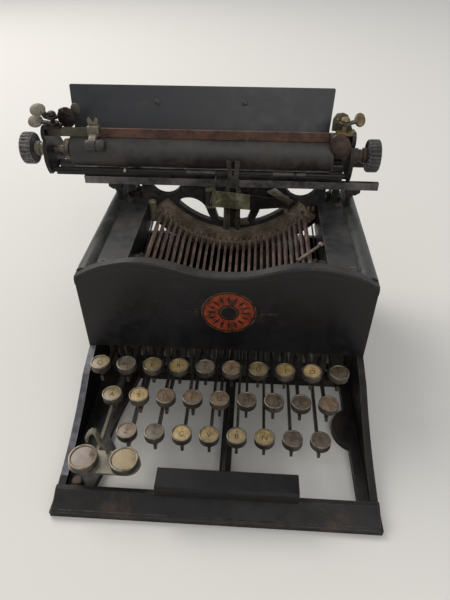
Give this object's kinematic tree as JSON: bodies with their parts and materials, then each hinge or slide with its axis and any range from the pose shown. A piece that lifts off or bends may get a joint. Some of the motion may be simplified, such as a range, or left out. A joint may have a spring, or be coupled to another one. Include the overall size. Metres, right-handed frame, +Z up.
{
  "type": "typewriter",
  "caption": "Compact front-strike typewriter on a cast base: three rows of round keys, waved front panel, type basket, inking roller and a sliding carriage that a shift lever lifts.",
  "frame": {"origin": "middle of the base's footprint, on the table", "axes": "+X to the typist's right, +Y to the rear, +Z up"},
  "size_m": [0.306, 0.29, 0.1948],
  "materials": {
    "japan": "black stoved enamel, worn",
    "deck_japan": "slate black enamel, scuffed",
    "nickel": "dull nickel plate",
    "steel": "bare steel, greyed",
    "rusty_steel": "bare steel with rust",
    "rust_scale": "rust-red scale strip",
    "brass": "tarnished brass grey",
    "rubber": "hardened dark rubber",
    "key_face": "aged legend behind lacquer",
    "felt": "ink-soaked felt",
    "cast": "dark cast iron"
  },
  "bodies": {
    "machine": {"base_frame": "japan", "body_casing": "japan", "deck_plates": "deck_japan", "arch_frame": "cast", "typebar_segment": "brass", "type_bars": "rusty_steel", "type_bar_rest": "steel", "type_guide": "steel", "fulcrum_rod": "steel", "key_comb": "steel", "bell": "nickel", "frame_screws": "steel"},
    "lift_frame": {"shift_frame": "steel", "carriage_rails": "steel"},
    "carriage": {"carriage_frame": "japan", "line_scale": "rust_scale", "paper_table": "japan"},
    "platen": {"platen": "rubber"},
    "feed_roller": {"feed_roller": "rubber"},
    "paper_finger": {"paper_finger": "steel"},
    "line_space_lever": {"line_space_lever": "nickel"},
    "platen_release_lever": {"platen_release_lever": "nickel"},
    "paper_release_lever": {"paper_release_lever": "nickel"},
    "shift_key_plate": {"shift_key_plate": "nickel"},
    "space_bar": {"space_bar": "japan"},
    "universal_bar": {"universal_bar": "steel"},
    "ink_arm": {"ink_arm": "steel"},
    "ink_roller": {"ink_roller": "felt"},
    "mainspring_drum": {"mainspring_drum": "steel"},
    "escapement_wheel": {"escapement_wheel": "brass"},
    "bell_clapper": {"bell_clapper": "steel"},
    "type_bar_left": {"type_bar_left": "rusty_steel"},
    "type_bar_right": {"type_bar_right": "rusty_steel"},
    "key_top_01": {"key_top_01": "nickel"},
    "key_top_02": {"key_top_02": "nickel"},
    "key_top_03": {"key_top_03": "nickel"},
    "key_top_04": {"key_top_04": "nickel"},
    "key_top_05": {"key_top_05": "nickel"},
    "key_top_06": {"key_top_06": "nickel"},
    "key_top_07": {"key_top_07": "nickel"},
    "key_top_08": {"key_top_08": "nickel"},
    "key_top_09": {"key_top_09": "nickel"},
    "key_top_10": {"key_top_10": "nickel"},
    "key_middle_01": {"key_middle_01": "nickel"},
    "key_middle_02": {"key_middle_02": "nickel"},
    "key_middle_03": {"key_middle_03": "nickel"},
    "key_middle_04": {"key_middle_04": "nickel"},
    "key_middle_05": {"key_middle_05": "nickel"},
    "key_middle_06": {"key_middle_06": "nickel"},
    "key_middle_07": {"key_middle_07": "nickel"},
    "key_middle_08": {"key_middle_08": "nickel"},
    "key_middle_09": {"key_middle_09": "nickel"},
    "key_bottom_01": {"key_bottom_01": "nickel"},
    "key_bottom_02": {"key_bottom_02": "nickel"},
    "key_bottom_03": {"key_bottom_03": "nickel"},
    "key_bottom_04": {"key_bottom_04": "nickel"},
    "key_bottom_05": {"key_bottom_05": "nickel"},
    "key_bottom_06": {"key_bottom_06": "nickel"},
    "key_bottom_07": {"key_bottom_07": "nickel"},
    "key_bottom_08": {"key_bottom_08": "nickel"}
  },
  "joints": [
    {"name": "shift_key_press", "type": "hinge", "parent": "machine", "child": "shift_key_plate", "pos_m": [0, 0.008, 0.007], "axis": [1, 0, 0], "range_deg": [0, 5.7]},
    {"name": "carriage_lift", "type": "slide", "parent": "machine", "child": "lift_frame", "axis": [0, 0, 1], "range_m": [0, 0.0092]},
    {"name": "carriage_travel", "type": "slide", "parent": "lift_frame", "child": "carriage", "axis": [1, 0, 0], "range_m": [-0.065, 0.125]},
    {"name": "platen_turn", "type": "hinge", "parent": "carriage", "child": "platen", "pos_m": [0, 0.117, 0.15], "axis": [1, 0, 0], "continuous": true},
    {"name": "feed_roller_turn", "type": "hinge", "parent": "carriage", "child": "feed_roller", "pos_m": [0, 0.12495, 0.13296], "axis": [1, 0, 0], "continuous": true},
    {"name": "paper_finger_slide", "type": "slide", "parent": "carriage", "child": "paper_finger", "axis": [1, 0, 0], "range_m": [-0.02, 0.15]},
    {"name": "line_space_swing", "type": "hinge", "parent": "carriage", "child": "line_space_lever", "pos_m": [-0.1495, 0.109, 0.1788], "axis": [0, 0, 1], "range_deg": [0, 30]},
    {"name": "platen_release_swing", "type": "hinge", "parent": "carriage", "child": "platen_release_lever", "pos_m": [-0.1495, 0.109, 0.1738], "axis": [0, 0, 1], "range_deg": [-20, 0]},
    {"name": "paper_release_swing", "type": "hinge", "parent": "carriage", "child": "paper_release_lever", "pos_m": [0.0885, 0.109, 0.1788], "axis": [0, 0, 1], "range_deg": [0, 25]},
    {"name": "space_bar_press", "type": "hinge", "parent": "machine", "child": "space_bar", "pos_m": [0, 0.112, 0.02], "axis": [1, 0, 0], "range_deg": [0, 1.2], "stiffness_Nm_per_rad": 1.5, "springref_deg": -17.19},
    {"name": "universal_bar_drop", "type": "hinge", "parent": "machine", "child": "universal_bar", "pos_m": [0, 0.112, 0.02], "axis": [1, 0, 0], "range_deg": [0, 2.5]},
    {"name": "ink_arm_swing", "type": "hinge", "parent": "machine", "child": "ink_arm", "pos_m": [0.047, 0.1007, 0.11], "axis": [0, 0, 1], "range_deg": [0, 25]},
    {"name": "ink_roller_turn", "type": "hinge", "parent": "ink_arm", "child": "ink_roller", "pos_m": [-0.0211, 0.0993, 0.113], "axis": [0, 0, 1], "continuous": true},
    {"name": "mainspring_turn", "type": "hinge", "parent": "machine", "child": "mainspring_drum", "pos_m": [-0.052, 0.1165, 0.054], "axis": [0, 1, 0], "range_deg": [-237, 452]},
    {"name": "escape_wheel_turn", "type": "hinge", "parent": "lift_frame", "child": "escapement_wheel", "pos_m": [0, 0.15, 0.12925], "axis": [0, 1, 0], "range_deg": [-625, 1200]},
    {"name": "bell_clapper_swing", "type": "hinge", "parent": "machine", "child": "bell_clapper", "pos_m": [0.054, 0.119, 0.027], "axis": [0, 1, 0], "range_deg": [-20, 0]},
    {"name": "type_bar_left_swing", "type": "hinge", "parent": "machine", "child": "type_bar_left", "pos_m": [-0.02701, 0.094, 0.07858], "axis": [-0.9442, 0, 0.3294], "range_deg": [0, 90]},
    {"name": "type_bar_right_swing", "type": "hinge", "parent": "machine", "child": "type_bar_right", "pos_m": [0.02701, 0.094, 0.07858], "axis": [-0.9442, 0, -0.3294], "range_deg": [0, 90]},
    {"name": "key_top_01_press", "type": "hinge", "parent": "machine", "child": "key_top_01", "pos_m": [-0.08833, 0.112, 0.02], "axis": [1, 0, 0], "range_deg": [0, 3.4], "stiffness_Nm_per_rad": 0.15, "springref_deg": -17.19},
    {"name": "key_top_02_press", "type": "hinge", "parent": "machine", "child": "key_top_02", "pos_m": [-0.06928, 0.112, 0.02], "axis": [1, 0, 0], "range_deg": [0, 3.4], "stiffness_Nm_per_rad": 0.15, "springref_deg": -17.19},
    {"name": "key_top_03_press", "type": "hinge", "parent": "machine", "child": "key_top_03", "pos_m": [-0.05022, 0.112, 0.02], "axis": [1, 0, 0], "range_deg": [0, 3.4], "stiffness_Nm_per_rad": 0.15, "springref_deg": -17.19},
    {"name": "key_top_04_press", "type": "hinge", "parent": "machine", "child": "key_top_04", "pos_m": [-0.03118, 0.112, 0.02], "axis": [1, 0, 0], "range_deg": [0, 3.4], "stiffness_Nm_per_rad": 0.15, "springref_deg": -17.19},
    {"name": "key_top_05_press", "type": "hinge", "parent": "machine", "child": "key_top_05", "pos_m": [-0.01213, 0.112, 0.02], "axis": [1, 0, 0], "range_deg": [0, 3.4], "stiffness_Nm_per_rad": 0.15, "springref_deg": -17.19},
    {"name": "key_top_06_press", "type": "hinge", "parent": "machine", "child": "key_top_06", "pos_m": [0.00692, 0.112, 0.02], "axis": [1, 0, 0], "range_deg": [0, 3.4], "stiffness_Nm_per_rad": 0.15, "springref_deg": -17.19},
    {"name": "key_top_07_press", "type": "hinge", "parent": "machine", "child": "key_top_07", "pos_m": [0.02598, 0.112, 0.02], "axis": [1, 0, 0], "range_deg": [0, 3.4], "stiffness_Nm_per_rad": 0.15, "springref_deg": -17.19},
    {"name": "key_top_08_press", "type": "hinge", "parent": "machine", "child": "key_top_08", "pos_m": [0.04503, 0.112, 0.02], "axis": [1, 0, 0], "range_deg": [0, 3.4], "stiffness_Nm_per_rad": 0.15, "springref_deg": -17.19},
    {"name": "key_top_09_press", "type": "hinge", "parent": "machine", "child": "key_top_09", "pos_m": [0.06407, 0.112, 0.02], "axis": [1, 0, 0], "range_deg": [0, 3.4], "stiffness_Nm_per_rad": 0.15, "springref_deg": -17.19},
    {"name": "key_top_10_press", "type": "hinge", "parent": "machine", "child": "key_top_10", "pos_m": [0.08313, 0.112, 0.02], "axis": [1, 0, 0], "range_deg": [0, 3.4], "stiffness_Nm_per_rad": 0.15, "springref_deg": -17.19},
    {"name": "key_middle_01_press", "type": "hinge", "parent": "machine", "child": "key_middle_01", "pos_m": [-0.0769, 0.112, 0.02], "axis": [1, 0, 0], "range_deg": [0, 3.05], "stiffness_Nm_per_rad": 0.15, "springref_deg": -17.19},
    {"name": "key_middle_02_press", "type": "hinge", "parent": "machine", "child": "key_middle_02", "pos_m": [-0.05785, 0.112, 0.02], "axis": [1, 0, 0], "range_deg": [0, 3.05], "stiffness_Nm_per_rad": 0.15, "springref_deg": -17.19},
    {"name": "key_middle_03_press", "type": "hinge", "parent": "machine", "child": "key_middle_03", "pos_m": [-0.0388, 0.112, 0.02], "axis": [1, 0, 0], "range_deg": [0, 3.05], "stiffness_Nm_per_rad": 0.15, "springref_deg": -17.19},
    {"name": "key_middle_04_press", "type": "hinge", "parent": "machine", "child": "key_middle_04", "pos_m": [-0.01975, 0.112, 0.02], "axis": [1, 0, 0], "range_deg": [0, 3.05], "stiffness_Nm_per_rad": 0.15, "springref_deg": -17.19},
    {"name": "key_middle_05_press", "type": "hinge", "parent": "machine", "child": "key_middle_05", "pos_m": [-0.0007, 0.112, 0.02], "axis": [1, 0, 0], "range_deg": [0, 3.05], "stiffness_Nm_per_rad": 0.15, "springref_deg": -17.19},
    {"name": "key_middle_06_press", "type": "hinge", "parent": "machine", "child": "key_middle_06", "pos_m": [0.01835, 0.112, 0.02], "axis": [1, 0, 0], "range_deg": [0, 3.05], "stiffness_Nm_per_rad": 0.15, "springref_deg": -17.19},
    {"name": "key_middle_07_press", "type": "hinge", "parent": "machine", "child": "key_middle_07", "pos_m": [0.0374, 0.112, 0.02], "axis": [1, 0, 0], "range_deg": [0, 3.05], "stiffness_Nm_per_rad": 0.15, "springref_deg": -17.19},
    {"name": "key_middle_08_press", "type": "hinge", "parent": "machine", "child": "key_middle_08", "pos_m": [0.05645, 0.112, 0.02], "axis": [1, 0, 0], "range_deg": [0, 3.05], "stiffness_Nm_per_rad": 0.15, "springref_deg": -17.19},
    {"name": "key_middle_09_press", "type": "hinge", "parent": "machine", "child": "key_middle_09", "pos_m": [0.0755, 0.112, 0.02], "axis": [1, 0, 0], "range_deg": [0, 3.05], "stiffness_Nm_per_rad": 0.15, "springref_deg": -17.19},
    {"name": "key_bottom_01_press", "type": "hinge", "parent": "machine", "child": "key_bottom_01", "pos_m": [-0.06367, 0.112, 0.02], "axis": [1, 0, 0], "range_deg": [0, 2.75], "stiffness_Nm_per_rad": 0.15, "springref_deg": -17.19},
    {"name": "key_bottom_02_press", "type": "hinge", "parent": "machine", "child": "key_bottom_02", "pos_m": [-0.04462, 0.112, 0.02], "axis": [1, 0, 0], "range_deg": [0, 2.75], "stiffness_Nm_per_rad": 0.15, "springref_deg": -17.19},
    {"name": "key_bottom_03_press", "type": "hinge", "parent": "machine", "child": "key_bottom_03", "pos_m": [-0.02558, 0.112, 0.02], "axis": [1, 0, 0], "range_deg": [0, 2.75], "stiffness_Nm_per_rad": 0.15, "springref_deg": -17.19},
    {"name": "key_bottom_04_press", "type": "hinge", "parent": "machine", "child": "key_bottom_04", "pos_m": [-0.00653, 0.112, 0.02], "axis": [1, 0, 0], "range_deg": [0, 2.75], "stiffness_Nm_per_rad": 0.15, "springref_deg": -17.19},
    {"name": "key_bottom_05_press", "type": "hinge", "parent": "machine", "child": "key_bottom_05", "pos_m": [0.01252, 0.112, 0.02], "axis": [1, 0, 0], "range_deg": [0, 2.75], "stiffness_Nm_per_rad": 0.15, "springref_deg": -17.19},
    {"name": "key_bottom_06_press", "type": "hinge", "parent": "machine", "child": "key_bottom_06", "pos_m": [0.03157, 0.112, 0.02], "axis": [-1, 0, 0], "range_deg": [-2.75, 0], "stiffness_Nm_per_rad": 0.15, "springref_deg": 17.19},
    {"name": "key_bottom_07_press", "type": "hinge", "parent": "machine", "child": "key_bottom_07", "pos_m": [0.05063, 0.112, 0.02], "axis": [1, 0, 0], "range_deg": [0, 2.75], "stiffness_Nm_per_rad": 0.15, "springref_deg": -17.19},
    {"name": "key_bottom_08_press", "type": "hinge", "parent": "machine", "child": "key_bottom_08", "pos_m": [0.06968, 0.112, 0.02], "axis": [1, 0, 0], "range_deg": [0, 2.75], "stiffness_Nm_per_rad": 0.15, "springref_deg": -17.19}
  ],
  "couplings": [
    {"joint": "carriage_lift", "follows": "shift_key_press", "m_per_rad": 0.08986},
    {"joint": "feed_roller_turn", "follows": "platen_turn", "ratio": -3.625},
    {"joint": "universal_bar_drop", "follows": "space_bar_press", "ratio": 2},
    {"joint": "mainspring_turn", "follows": "carriage_travel", "rad_per_m": 62.5},
    {"joint": "escape_wheel_turn", "follows": "carriage_travel", "rad_per_m": 155.04},
    {"joint": "type_bar_left_swing", "follows": "key_top_04_press", "ratio": 26.471},
    {"joint": "type_bar_right_swing", "follows": "key_bottom_06_press", "ratio": -32.727}
  ]
}
